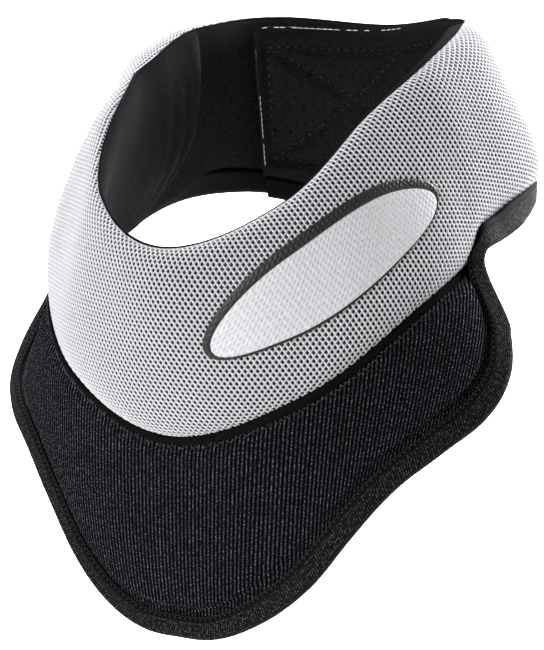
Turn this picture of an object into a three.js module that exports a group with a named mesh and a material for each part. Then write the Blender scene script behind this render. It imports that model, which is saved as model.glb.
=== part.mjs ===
// Hockey neck guard: padded collar with a silver mesh face over a black ribbed bib.
// Millimetres. Z up, the front looks along -Y, +X is the wearer's left.
// A turn is an angle round the neck in degrees: 0 at the front, positive to the wearer's left.
import * as THREE from "three";

// Cloth thicknesses and clearances
const CLEAR = 0.3;
const LINING = 1.2;
const TAPE = 1.2;
const HOOK_THICK = 1;

// Collar: one row for each section round the neck
// reach is the distance from the neck axis, height is Z, out and inside are the padding's swell
// to either side of the line from top edge to foot, square makes that swell flatter
const RING_COLUMNS = ["turn", "topReach", "top", "footReach", "foot", "out", "inside", "square"];
const RING = [
  [-205, 78.2, 64, 76.8, -5, 2.5, 2.5, 10],
  [-180, 79.2, 58, 69.6, -7, 2.5, 2.5, 10],
  [-150, 72.8, 65, 74.8, 2, 3, 2.5, 9],
  [-130, 66.2, 69, 76.5, 9.5, 4, 3, 6],
  [-116, 61.8, 70, 78, 11, 6, 7, 3],
  [-90, 56.2, 65, 78.5, 4.5, 8.2, 7, 2.2],
  [-75, 53.8, 62.2, 82.6, 2.4, 8, 6.5, 2.2],
  [-60, 56, 58, 86.5, -1, 7.4, 6, 2.2],
  [-45, 63.2, 48.9, 88.7, -8.6, 4.6, 6, 2.2],
  [-30, 70.5, 40, 90, -18, 5.4, 6, 2.2],
  [0, 79, 30.5, 89.5, -31, 8.3, 6, 2.2],
  [30, 70.5, 40.5, 88, -18, 8.5, 6, 2.2],
  [60, 59.5, 59.5, 80.5, 1, 8, 6, 2.2],
  [90, 60.5, 70, 75, 9, 8.5, 7, 2.2],
  [116, 65, 73, 83, 15, 8, 7, 3],
  [130, 68, 71, 79, 5, 5, 3, 6],
  [150, 71, 66, 71.6, -5, 3, 2.5, 9],
  [180, 72, 58, 62.4, -7, 2.5, 2.5, 10],
  [218, 63, 65, 69, 6, 2.5, 2.5, 10],
];
const END_CORNER = 5;
// Degrees by which the flap's foot runs on past its top at the very end, from where it starts to
const FLAP_LEAN = 2.9;
const FLAP_LEAN_FROM = 176;

// How far the lining rolls up above the seam of the top edge, thickest where the side pad ends
const ROLL_COLUMNS = ["turn", "lift"];
const ROLL = [
  [-205, 0.3],
  [-126, 0.3],
  [-116, 0.7],
  [-60, 0.6],
  [0, 0.8],
  [30, 1.2],
  [60, 2.2],
  [75, 3],
  [90, 3.6],
  [104, 4.4],
  [114, 5],
  [121, 3],
  [127, 0.4],
  [218, 0.3],
];
const ROLL_SHARE = 0.36;

// Rise of the collar's foot above the line of the bib's seam, behind the bib's end on the wearer's left
const RISE_COLUMNS = ["turn", "rise"];
const RISE = [
  [0, 0],
  [76, 0],
  [79, 0.8],
  [82, 4.5],
  [84.5, 6.4],
  [90, 6],
  [100, 4.3],
  [110, 1.9],
  [120, 0],
  [218, 0],
];
const WALL_ROWS = 10;

// Bib: one row for each point of its edge, drop is measured down the cloth from the collar's foot
const BIB_COLUMNS = ["turn", "drop"];
const BIB = [
  [0, 69.5],
  [8.5, 70],
  [17, 67],
  [25.5, 60.5],
  [34.5, 51],
  [44, 45],
  [54, 44.5],
  [62.5, 44],
  [71, 37.5],
  [77, 26],
  [81, 14.5],
  [84, 5.4],
];
const BIB_FLARE_FRONT = 13;
const BIB_FLARE_SIDE = 38;
const BIB_BOW = 2;
const BIB_HALF = 2.5;
const BIB_EDGE_HALF = 1.8;
const BIB_TIP_HALF = 0.8;

// Seam band between collar and bib
const BAND_DEEP = 3.8;
const BAND_HALF = 1.7;
const BAND_END_TURN = 75.6;
const PANEL_END_TURN = 77;

// Binding tape folded over the bib's edge, and its run along the collar's foot behind the bib
const BINDING_WIDE = 8;
const BINDING_ROUND = 3.3;
const COLLAR_BINDING_WIDE = 8;
const COLLAR_BINDING_HALF = 2.2;
const COLLAR_BINDING_FLARE = 14;
const COLLAR_BINDING_START = 85.6;

// Badge on the wearer's left front: x runs along the collar, y up it
const BADGE_TURN = 41.2;
const BADGE_DOWN = 0.453;
const BADGE_LONG = 48.9;
const BADGE_TALL = 15.3;
const BADGE_TILT = -5.4;
const BADGE_BEND = 4.2;
const BADGE_TWIST = 3.6;
const BADGE_TAPER = 0.134;
const BADGE_THICK = 0.8;
const FIELD_SHIFT_X = 0.7;
const FIELD_SHIFT_Y = -1.7;
const FIELD_MARGIN_LONG = 1.9;
const FIELD_MARGIN_TALL = 2.4;

// Hook fastener between the lapped ends
const HOOK_FROM = 166;
const HOOK_TO = 204;
const HOOK_UPPER = 0.2;
const HOOK_LOWER = 0.72;

const rad = THREE.MathUtils.degToRad;

// Smooth value of one column at a given first-column value
function ease(rows, column, at) {
  const last = rows.length - 1;
  const x = Math.min(Math.max(at, rows[0][0]), rows[last][0]);
  let i = 0;
  while (i < last - 1 && x > rows[i + 1][0]) i += 1;
  const slope = (k) => {
    const a = rows[Math.max(k - 1, 0)];
    const b = rows[Math.min(k + 1, last)];
    return (b[column] - a[column]) / (b[0] - a[0]);
  };
  const span = rows[i + 1][0] - rows[i][0];
  const t = (x - rows[i][0]) / span;
  const t2 = t * t;
  const t3 = t2 * t;
  return (2 * t3 - 3 * t2 + 1) * rows[i][column] + (t3 - 2 * t2 + t) * span * slope(i)
    + (3 * t2 - 2 * t3) * rows[i + 1][column] + (t3 - t2) * span * slope(i + 1);
}

// All columns of the collar at one turn
function ringAt(turn) {
  const ring = {};
  RING_COLUMNS.forEach((name, column) => {
    ring[name] = column === 0 ? turn : ease(RING, column, turn);
  });
  ring.seam = ring.foot;
  ring.foot += ease(RISE, RISE_COLUMNS.indexOf("rise"), turn);
  return ring;
}

// Point of the collar's wall, down the line from top edge to foot and off to its outer side
function wallPoint(ring, down, off) {
  const dr = ring.footReach - ring.topReach;
  const dz = ring.foot - ring.top;
  const deep = Math.hypot(dr, dz);
  const r = ring.topReach + (dr * down - dz * off) / deep;
  const z = ring.top + (dz * down + dr * off) / deep;
  const lean = FLAP_LEAN * THREE.MathUtils.smoothstep(ring.turn, FLAP_LEAN_FROM, RING[RING.length - 1][0]);
  const t = rad(ring.turn + (lean * down) / deep);
  return new THREE.Vector3(r * Math.sin(t), -r * Math.cos(t), z);
}

function wallDeep(ring) {
  return Math.hypot(ring.footReach - ring.topReach, ring.foot - ring.top);
}

// Swell of the padding from 0 at the top edge through 1 to 0 at the foot
function swell(v, square) {
  return Math.sqrt(Math.max(0, 1 - Math.abs(2 * v - 1) ** square));
}

// How far the upper corners of the strap's ends are rounded away at a turn
function cornerCut(turn) {
  const first = RING[0];
  const last = RING[RING.length - 1];
  const fromFirst = rad(turn - first[0]) * first[1];
  const toLast = rad(last[0] - turn) * last[1];
  const left = Math.min(fromFirst, toLast);
  if (left >= END_CORNER) return 0;
  return END_CORNER - Math.sqrt(END_CORNER ** 2 - (END_CORNER - left) ** 2);
}

// Closed strip from a list of loops, each loop an outer run followed by the inner run reversed
function loft(loops) {
  const count = loops[0].length;
  const half = count / 2;
  const positions = [];
  const index = [];
  loops.forEach((loop) => loop.forEach((p) => positions.push(p.x, p.y, p.z)));
  for (let i = 0; i < loops.length - 1; i += 1) {
    for (let j = 0; j < count; j += 1) {
      const a = i * count + j;
      const b = i * count + ((j + 1) % count);
      index.push(a, a + count, b, b, a + count, b + count);
    }
  }
  const end = (loops.length - 1) * count;
  for (let j = 0; j < half - 1; j += 1) {
    const a = j;
    const b = j + 1;
    const c = count - 2 - j;
    const d = count - 1 - j;
    index.push(a, b, c, a, c, d);
    index.push(end + a, end + c, end + b, end + a, end + d, end + c);
  }
  return closed(positions, index);
}

// Geometry whose faces look outward
function closed(positions, index) {
  let volume = 0;
  const at = (i) => new THREE.Vector3().fromArray(positions, i * 3);
  for (let k = 0; k < index.length; k += 3) {
    volume += at(index[k]).dot(at(index[k + 1]).cross(at(index[k + 2])));
  }
  const faces = index.slice();
  if (volume < 0) {
    for (let k = 0; k < faces.length; k += 3) {
      [faces[k + 1], faces[k + 2]] = [faces[k + 2], faces[k + 1]];
    }
  }
  const geometry = new THREE.BufferGeometry();
  geometry.setAttribute("position", new THREE.Float32BufferAttribute(positions, 3));
  geometry.setIndex(faces);
  geometry.computeVertexNormals();
  return geometry;
}

const guard = new THREE.Group();
guard.name = "hockey_neck_guard";

function addPiece(name, geometry, colour, roughness) {
  const material = new THREE.MeshStandardMaterial({ color: colour, roughness, metalness: 0 });
  const mesh = new THREE.Mesh(geometry, material);
  mesh.name = name;
  guard.add(mesh);
}

// Turns of the collar's sections: even steps, closer where the padding ends and at the strap ends
function ringTurns() {
  const first = RING[0][0];
  const last = RING[RING.length - 1][0];
  const turns = [first, first + 0.6, first + 1.8, first + 3.4, first + 5.5];
  for (let turn = -195; turn <= 208; turn += 6.2) turns.push(turn);
  turns.push(last - 5.5, last - 3.4, last - 1.8, last - 0.6, last);
  return turns;
}

// Rows down the wall, closer together at the top edge and at the foot
function wallRows() {
  const rows = [];
  for (let k = 0; k <= WALL_ROWS; k += 1) rows.push(0.5 - 0.5 * Math.cos((Math.PI * k) / WALL_ROWS));
  return rows;
}

// Collar wall with its mesh face
function shellLoop(turn) {
  const ring = ringAt(turn);
  const deep = wallDeep(ring);
  const cut = cornerCut(turn);
  const skin = LINING + CLEAR;
  const outer = [];
  const inner = [];
  wallRows().forEach((v) => {
    const full = swell(v, ring.square);
    outer.push(wallPoint(ring, cut + (deep - cut) * v, CLEAR + 0.05 + ring.out * full));
    inner.push(wallPoint(ring, cut + skin + (deep - cut - 2 * skin) * v,
      CLEAR - (ring.inside - LINING) * full));
  });
  return [...outer, ...inner.reverse()];
}
addPiece("collar_shell", loft(ringTurns().map(shellLoop)), 0xc4c4c8, 0.8);

// Lining, from the top edge down the inside to the foot
function liningLoop(turn) {
  const ring = ringAt(turn);
  const deep = wallDeep(ring);
  const cut = cornerCut(turn);
  const roll = ease(ROLL, ROLL_COLUMNS.indexOf("lift"), turn);
  const face = [];
  const back = [];
  wallRows().forEach((v) => {
    const full = swell(v, ring.square);
    const lift = roll * Math.sin(Math.min(Math.PI, Math.acos(1 - 2 * v) / ROLL_SHARE));
    face.push(wallPoint(ring, cut + (deep - cut) * v - lift, -ring.inside * full));
    back.push(wallPoint(ring, cut + LINING + (deep - cut - 2 * LINING) * v - lift,
      -(ring.inside - LINING) * full));
  });
  return [...face, ...back.reverse()];
}
addPiece("collar_lining", loft(ringTurns().map(liningLoop)), 0x151517, 0.9);

// Hook fastener, lying on the outer face of the inner strap
function hookLoop(turn) {
  const ring = ringAt(turn);
  const deep = wallDeep(ring);
  const near = [];
  const far = [];
  for (let k = 0; k <= 3; k += 1) {
    const v = HOOK_UPPER + ((HOOK_LOWER - HOOK_UPPER) * k) / 3;
    const face = ring.out * swell(v, ring.square) + 2 * CLEAR + 0.05;
    near.push(wallPoint(ring, deep * v, face));
    far.push(wallPoint(ring, deep * v, face + HOOK_THICK));
  }
  return [...far, ...near.reverse()];
}
const hookTurns = [];
for (let k = 0; k <= 8; k += 1) hookTurns.push(HOOK_FROM + ((HOOK_TO - HOOK_FROM) * k) / 8);
addPiece("hook_patch", loft(hookTurns.map(hookLoop)), 0x111113, 0.9);

// Direction down a cloth that stands off the vertical by an angle at a turn, and the way out of it
function clothWay(turn, angle) {
  const side = Math.sin(rad(turn));
  const ahead = Math.cos(rad(turn));
  const across = Math.sin(angle);
  const steep = Math.cos(angle);
  const down = new THREE.Vector3(across * side, -across * ahead, -steep);
  const out = new THREE.Vector3(steep * side, -steep * ahead, across);
  return { down, out };
}
function bibWay(turn) {
  return clothWay(turn, rad(BIB_FLARE_FRONT + BIB_FLARE_SIDE * (1 - Math.cos(rad(turn)))));
}

function bibPoint(turn, drop) {
  const ring = ringAt(turn);
  const t = rad(turn);
  const seam = new THREE.Vector3(ring.footReach * Math.sin(t), -ring.footReach * Math.cos(t), ring.seam);
  return seam.addScaledVector(bibWay(turn).down, drop);
}

// The bib's edge as frames: point, way into the cloth and way out of it
function edgeFrames(turns) {
  const dropAt = (turn) => ease(BIB, BIB_COLUMNS.indexOf("drop"), Math.abs(turn));
  return turns.map((turn) => {
    const step = 0.2;
    const limit = BIB[BIB.length - 1][0];
    const a = Math.max(turn - step, -limit);
    const b = Math.min(turn + step, limit);
    const along = bibPoint(b, dropAt(b)).sub(bibPoint(a, dropAt(a))).normalize();
    const out = bibWay(turn).out;
    const inward = new THREE.Vector3().crossVectors(out, along).normalize();
    if (inward.z < 0 && Math.abs(turn) < 30) inward.negate();
    if (Math.abs(turn) >= 30 && inward.dot(bibWay(turn).down) > 0) inward.negate();
    return { turn, point: bibPoint(turn, dropAt(turn)), inward, out };
  });
}

// Turns of the bib's columns, closer at the steep sides of the ears
function bibTurns() {
  const half = [];
  for (let turn = 3; turn < 70; turn += 5.5) half.push(turn);
  half.push(73, 75.5, 77.5, 79.2, 80.7, 82, 83.1, 84);
  return [...half.map((turn) => -turn).reverse(), 0, ...half];
}

// Panel of the bib, thinner where the binding grips it
function panelLoop(frame) {
  const way = bibWay(frame.turn);
  const bandTurn = Math.sign(frame.turn) * Math.min(Math.abs(frame.turn), PANEL_END_TURN);
  const lower = 1.6 * THREE.MathUtils.smoothstep(Math.abs(frame.turn), 55, 75);
  const start = bibPoint(bandTurn, BAND_DEEP + 2 * CLEAR + 0.2 + lower);
  const grip = frame.point.clone().addScaledVector(frame.inward, BINDING_WIDE + 1.5);
  const part = Math.min(1, start.distanceTo(grip) / 16);
  const face = [];
  const back = [];
  const put = (p, half) => {
    face.push(p.clone().addScaledVector(way.out, half));
    back.push(p.clone().addScaledVector(way.out, -half));
  };
  const tip = TAPE + 2 * CLEAR;
  put(frame.point.clone().addScaledVector(frame.inward, tip), BIB_TIP_HALF);
  put(frame.point.clone().addScaledVector(frame.inward, tip + 1.6), BIB_EDGE_HALF);
  put(grip, BIB_EDGE_HALF);
  [0.15, 0.4, 0.65, 0.9].forEach((w) => {
    const bow = BIB_BOW * 4 * w * (1 - w) * part;
    const half = BIB_EDGE_HALF + (BIB_HALF - BIB_EDGE_HALF) * part;
    put(grip.clone().lerp(start, w).addScaledVector(way.out, bow), half);
  });
  put(start, BIB_EDGE_HALF);
  return [...face, ...back.reverse()];
}
const bibFrames = edgeFrames(bibTurns());
addPiece("bib_panel", loft(bibFrames.map(panelLoop)), 0x1c1b20, 0.9);

// Binding tape folded over the bib's edge
function bindingLoop(frame) {
  const outer = [];
  const inner = [];
  const slot = BIB_EDGE_HALF + CLEAR;
  const put = (list, inward, out) => {
    list.push(frame.point.clone().addScaledVector(frame.inward, inward).addScaledVector(frame.out, out));
  };
  put(outer, BINDING_WIDE, slot + TAPE * 0.6);
  put(inner, BINDING_WIDE, slot);
  for (let k = 0; k <= 4; k += 1) {
    const a = Math.PI / 2 - (Math.PI * k) / 4;
    put(outer, BINDING_ROUND * (1 - Math.cos(a)), (slot + TAPE) * Math.sin(a));
    put(inner, TAPE + (BINDING_ROUND - TAPE) * (1 - Math.cos(a)), slot * Math.sin(a));
  }
  put(outer, BINDING_WIDE, -slot - TAPE * 0.6);
  put(inner, BINDING_WIDE, -slot);
  return [...outer, ...inner.reverse()];
}
addPiece("bib_binding", loft(bibFrames.map(bindingLoop)), 0x121214, 0.85);

// Rounded strip hung from the collar's foot: deep along the way down, half to either side of it
function stripLoop(top, down, out, deep, half) {
  const face = [];
  const back = [];
  const rows = [[0, 0.6], [0.2, 1], [0.75, 1], [1, 0.4]];
  rows.forEach(([v, share]) => {
    const p = top.clone().addScaledVector(down, deep * v);
    face.push(p.clone().addScaledVector(out, half * share));
    back.push(p.clone().addScaledVector(out, -half * share));
  });
  return [...face, ...back.reverse()];
}

// Seam band between the collar's foot and the bib
function bandLoop(turn) {
  const way = bibWay(turn);
  return stripLoop(bibPoint(turn, CLEAR + 0.3), way.down, way.out, BAND_DEEP - 0.3, BAND_HALF);
}
const bandTurns = bibTurns().filter((turn) => Math.abs(turn) < BAND_END_TURN);
addPiece("seam_band", loft(bandTurns.map(bandLoop)), 0x101012, 0.9);

// Binding along the collar's foot behind the bib, standing out a little
function collarBindingLoop(turn) {
  const ring = ringAt(turn);
  const foot = wallPoint(ring, wallDeep(ring), CLEAR / 2);
  const thick = THREE.MathUtils.smoothstep(ring.out, 2.5, 8);
  const lean = Math.atan2(ring.footReach - ring.topReach, ring.top - ring.foot);
  const { down, out } = clothWay(turn, lean + rad(COLLAR_BINDING_FLARE) * thick);
  foot.addScaledVector(down, CLEAR + 0.1);
  return stripLoop(foot, down, out, COLLAR_BINDING_WIDE, COLLAR_BINDING_HALF);
}
function bindingTurns(from, to) {
  const turns = [];
  const count = Math.ceil(Math.abs(to - from) / 6.2);
  for (let k = 0; k <= count; k += 1) turns.push(from + ((to - from) * k) / count);
  return turns;
}
const endTrim = 0.8;
const leftEnd = RING[RING.length - 1][0] - endTrim;
const rightEnd = RING[0][0] + endTrim;
const leftTurns = bindingTurns(COLLAR_BINDING_START, leftEnd);
const rightTurns = bindingTurns(-COLLAR_BINDING_START, rightEnd);
addPiece("collar_binding_left", loft(leftTurns.map(collarBindingLoop)), 0x121214, 0.85);
addPiece("collar_binding_right", loft(rightTurns.map(collarBindingLoop)), 0x121214, 0.85);

// Mesh face at a turn and share of the way down, with its outward normal
function facePoint(turn, v, off) {
  const ring = ringAt(turn);
  return wallPoint(ring, wallDeep(ring) * v, CLEAR + 0.05 + ring.out * swell(v, ring.square) + off);
}

// Point of the badge's oval, x along the collar and y up it
const badgeRing = ringAt(BADGE_TURN);
const badgeBefore = facePoint(BADGE_TURN - 0.5, BADGE_DOWN, 0);
const badgeArc = facePoint(BADGE_TURN + 0.5, BADGE_DOWN, 0).distanceTo(badgeBefore);
const tiltCos = Math.cos(rad(BADGE_TILT));
const tiltSin = Math.sin(rad(BADGE_TILT));
function badgePoint(x, y, off) {
  const share = x / BADGE_LONG;
  const high = y * (1 - BADGE_TAPER * share);
  const along = x * tiltCos - high * tiltSin;
  const up = x * tiltSin + high * tiltCos - BADGE_BEND * share ** 2 + BADGE_TWIST * share ** 3;
  return facePoint(BADGE_TURN + along / badgeArc, BADGE_DOWN - up / wallDeep(badgeRing), off);
}
const BADGE_SEGMENTS = 32;
function ovalPoint(k, long, tall, shiftX, shiftY, off) {
  const a = (2 * Math.PI * k) / BADGE_SEGMENTS;
  return badgePoint(shiftX + long * Math.cos(a), shiftY + tall * Math.sin(a), off);
}

// Closed ring of the badge's border
function badgeRim() {
  const low = CLEAR + 0.1;
  const high = low + BADGE_THICK;
  const loops = [];
  for (let k = 0; k < BADGE_SEGMENTS; k += 1) {
    const inLong = BADGE_LONG - FIELD_MARGIN_LONG;
    const inTall = BADGE_TALL - FIELD_MARGIN_TALL;
    loops.push([
      ovalPoint(k, BADGE_LONG, BADGE_TALL, 0, 0, high),
      ovalPoint(k, inLong, inTall, FIELD_SHIFT_X, FIELD_SHIFT_Y, high),
      ovalPoint(k, inLong, inTall, FIELD_SHIFT_X, FIELD_SHIFT_Y, low),
      ovalPoint(k, BADGE_LONG, BADGE_TALL, 0, 0, low),
    ]);
  }
  const positions = [];
  const index = [];
  loops.forEach((loop) => loop.forEach((p) => positions.push(p.x, p.y, p.z)));
  for (let k = 0; k < BADGE_SEGMENTS; k += 1) {
    const next = (k + 1) % BADGE_SEGMENTS;
    for (let j = 0; j < 4; j += 1) {
      const a = k * 4 + j;
      const b = k * 4 + ((j + 1) % 4);
      const c = next * 4 + j;
      const d = next * 4 + ((j + 1) % 4);
      index.push(a, c, b, b, c, d);
    }
  }
  return closed(positions, index);
}
addPiece("badge_rim", badgeRim(), 0x0e0e10, 0.6);

// White field of the badge: rings from its middle to its edge, front and back
function badgeField() {
  const low = CLEAR + 0.1;
  const high = low + BADGE_THICK * 0.9;
  const long = BADGE_LONG - FIELD_MARGIN_LONG - CLEAR;
  const tall = BADGE_TALL - FIELD_MARGIN_TALL - CLEAR;
  const shares = [0.25, 0.5, 0.75, 1];
  const positions = [];
  const index = [];
  const put = (p) => positions.push(p.x, p.y, p.z);
  [high, low].forEach((off) => {
    put(badgePoint(FIELD_SHIFT_X, FIELD_SHIFT_Y, off));
    shares.forEach((share) => {
      for (let k = 0; k < BADGE_SEGMENTS; k += 1) {
        put(ovalPoint(k, long * share, tall * share, FIELD_SHIFT_X, FIELD_SHIFT_Y, off));
      }
    });
  });
  const side = 1 + shares.length * BADGE_SEGMENTS;
  for (let k = 0; k < BADGE_SEGMENTS; k += 1) {
    const next = (k + 1) % BADGE_SEGMENTS;
    index.push(0, 1 + k, 1 + next, side, side + 1 + next, side + 1 + k);
    for (let s = 0; s < shares.length - 1; s += 1) {
      const a = 1 + s * BADGE_SEGMENTS + k;
      const b = 1 + s * BADGE_SEGMENTS + next;
      const c = a + BADGE_SEGMENTS;
      const d = b + BADGE_SEGMENTS;
      index.push(a, c, b, b, c, d);
      index.push(side + a, side + b, side + c, side + b, side + d, side + c);
    }
    const rim = 1 + (shares.length - 1) * BADGE_SEGMENTS;
    index.push(rim + k, side + rim + k, rim + next, rim + next, side + rim + k, side + rim + next);
  }
  return closed(positions, index);
}
addPiece("badge_field", badgeField(), 0xe9e9ec, 0.55);

export default guard;
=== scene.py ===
import math

import bpy
import numpy as np
from mathutils import Matrix


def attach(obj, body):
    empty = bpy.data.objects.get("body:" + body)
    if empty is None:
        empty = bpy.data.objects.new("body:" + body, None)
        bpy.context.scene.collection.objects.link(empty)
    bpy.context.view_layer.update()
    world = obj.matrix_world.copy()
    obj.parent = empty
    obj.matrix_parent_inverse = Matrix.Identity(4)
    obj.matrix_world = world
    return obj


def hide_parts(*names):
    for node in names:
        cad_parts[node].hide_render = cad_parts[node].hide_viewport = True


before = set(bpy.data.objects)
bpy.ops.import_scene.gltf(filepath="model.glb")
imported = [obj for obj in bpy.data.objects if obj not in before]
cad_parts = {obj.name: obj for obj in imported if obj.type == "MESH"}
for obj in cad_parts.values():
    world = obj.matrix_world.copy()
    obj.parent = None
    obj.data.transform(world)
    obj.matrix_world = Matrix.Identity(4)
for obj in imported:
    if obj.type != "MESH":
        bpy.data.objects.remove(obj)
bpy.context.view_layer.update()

# Camera at the photograph's angle: pixels are the photograph's, lengths are metres
PHOTO_WIDE, PHOTO_TALL = 544, 650
AZIMUTH, ELEVATION, ROLL = 34.5, 21.7, 8.5
DISTANCE = 0.850
FOCAL_PIXELS = 2407
ORIGIN_PIXEL = (298.5, 249.1)
SENSOR_WIDE = 36


def camera_axes():
    a, e, r = np.radians([AZIMUTH, ELEVATION, ROLL])
    level = np.array([np.cos(a), np.sin(a), 0])
    back = np.array([np.sin(a) * np.cos(e), -np.cos(a) * np.cos(e), np.sin(e)])
    up = np.cross(back, level)
    return np.cos(r) * level - np.sin(r) * up, np.sin(r) * level + np.cos(r) * up, back


def put_at(thing, axes, point):
    """Place a camera or a light by its own axes and its point."""
    rows = [[*(axis[row] for axis in axes), point[row]] for row in range(3)]
    thing.matrix_world = Matrix([*rows, [0, 0, 0, 1]])


def new_object(name, data):
    made = bpy.data.objects.new(name, data)
    bpy.context.collection.objects.link(made)
    return made


def add_camera():
    right, up, back = camera_axes()
    per_pixel = DISTANCE / FOCAL_PIXELS
    aim = -right * (ORIGIN_PIXEL[0] - PHOTO_WIDE / 2) * per_pixel
    aim = aim - up * (PHOTO_TALL / 2 - ORIGIN_PIXEL[1]) * per_pixel
    data = bpy.data.cameras.new("photo_camera")
    data.sensor_width = SENSOR_WIDE
    data.lens = FOCAL_PIXELS * SENSOR_WIDE / PHOTO_TALL
    data.clip_start = 0.05
    data.clip_end = 20
    camera = new_object("photo_camera", data)
    put_at(camera, (right, up, back), aim + back * DISTANCE)
    bpy.context.scene.camera = camera


add_camera()

# Sizes in millimetres; the collar's and the bib's tables are those of the CAD
# A turn is an angle round the neck in degrees: 0 at the front, positive to the wearer's left
RING_COLUMNS = ("turn", "topReach", "top", "footReach", "foot", "out", "inside", "square")
RING = np.array([
    [-205, 78.2, 64, 76.8, -5, 2.5, 2.5, 10],
    [-180, 79.2, 58, 69.6, -7, 2.5, 2.5, 10],
    [-150, 72.8, 65, 74.8, 2, 3, 2.5, 9],
    [-130, 66.2, 69, 76.5, 9.5, 4, 3, 6],
    [-116, 61.8, 70, 78, 11, 6, 7, 3],
    [-90, 56.2, 65, 78.5, 4.5, 8.2, 7, 2.2],
    [-75, 53.8, 62.2, 82.6, 2.4, 8, 6.5, 2.2],
    [-60, 56, 58, 86.5, -1, 7.4, 6, 2.2],
    [-45, 63.2, 48.9, 88.7, -8.6, 4.6, 6, 2.2],
    [-30, 70.5, 40, 90, -18, 5.4, 6, 2.2],
    [0, 79, 30.5, 89.5, -31, 8.3, 6, 2.2],
    [30, 70.5, 40.5, 88, -18, 8.5, 6, 2.2],
    [60, 59.5, 59.5, 80.5, 1, 8, 6, 2.2],
    [90, 60.5, 70, 75, 9, 8.5, 7, 2.2],
    [116, 65, 73, 83, 15, 8, 7, 3],
    [130, 68, 71, 79, 5, 5, 3, 6],
    [150, 71, 66, 71.6, -5, 3, 2.5, 9],
    [180, 72, 58, 62.4, -7, 2.5, 2.5, 10],
    [218, 63, 65, 69, 6, 2.5, 2.5, 10],
])
FIRST_TURN, LAST_TURN = RING[0, 0], RING[-1, 0]
END_CORNER = 5
FLAP_LEAN, FLAP_LEAN_FROM = 2.9, 176
CLEAR = 0.3
FACE_CLEAR = CLEAR + 0.05
LINING = 1.2
LINING_SHEET = 0.9
# A strap is about 2.5 thick on its outer side, and the full padding stands out 7 or more
STRAP_OUT, PADDED_OUT, FULL_OUT = 2.5, 7, 8
# Unevenness of the padding: height, waves round the neck, waves down the wall, start
PAD_WAVES = ((0.35, 5.3, 2.2, 0), (0.3, 8.7, -3.1, 1), (0.2, 14, 5, 0))
# Fuller padding high up at the side on the wearer's right, and its top edge turned in
UPPER_BULGE, TOP_INSET = 10, 4
UPPER_AT, UPPER_WIDE = 0.12, 0.22
UPPER_TURNS = (-82, -102, -126, -146)

# Edge of the bib: drop is measured down the cloth from the collar's foot
BIB = np.array([
    [0, 69.5], [8.5, 70], [17, 67], [25.5, 60.5], [34.5, 51], [44, 45], [54, 44.5],
    [62.5, 44], [71, 37.5], [77, 26], [81, 14.5], [84, 5.4],
])
EAR_TURN = BIB[-1, 0]
# How the soft bib hangs to one side, as in the picture: turn, shift toward the picture's right
BIB_SWAY = np.array([
    [-90, 0], [-84, 0], [-79, 0.6], [-75, 2.5], [-71, 2.4], [-62, 1.8], [-50, 0.7],
    [-40, 1.8], [-30, 2.4], [-20, 1.2], [-11, 0.5], [4, 0.8], [14, 1.3], [20, 2.7],
    [26, 3.1], [34, 1.7], [41, 0.8], [58, 0.7], [67, 1.4], [75, 0.5], [80, -0.6], [90, 0],
])
SWAY_LEAST_DROP = 12
SWAY_TURN = 90
BIB_FLARE_FRONT, BIB_FLARE_SIDE = 13, 38
BIB_BOW = 2
# The ear on the wearer's right is thinner, and dished between its tape and the collar
EAR_THIN, EAR_SINK, EAR_DISH = 1.8, 2.6, 5
EAR_FROM, EAR_FULL = -46, -64
EAR_TAPE_FROM, EAR_TAPE_FULL = 56, 70
BIB_HALF = 2.5
# Where the cloth below the collar's foot passes from the bib to the strap
STRAP_FROM, STRAP_FULL = 82, 94
BAND_END_TURN = 80.5
BAND_TOP, BAND_LOW_RIGHT, BAND_LOW_LEFT = -0.8, 1.6, 4.3
BAND_RIGHT_TURN, BAND_LEFT_TURN = -60, 30
BAND_OUT, BAND_HALF = 0.4, 2.1

# Tape folded over the bib's edge and run on along the collar's foot
TAPE_WIDE = 8.2
TAPE_BIB_HALF, TAPE_COLLAR_HALF = 3.1, 2.2
TAPE_COLLAR_FLARE = 14
TAPE_RIDGES = 11
TAPE_RIDGE_HIGH = 0.1
TAPE_FLAT, TAPE_ROUND = 0.72, 0.28
TAPE_TURNED = 100
TAPE_HATCH = 0.95
# It keeps along the bib's edge up to a turn, and laps over the foot of the strap behind
TAPE_BIB_TURN, TAPE_FRONT_TURN = 76, 79
TAPE_THIN_FROM, TAPE_THIN_FULL = 81, 95
TAPE_OVER, TAPE_BELOW = 0.6, 0.4
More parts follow.
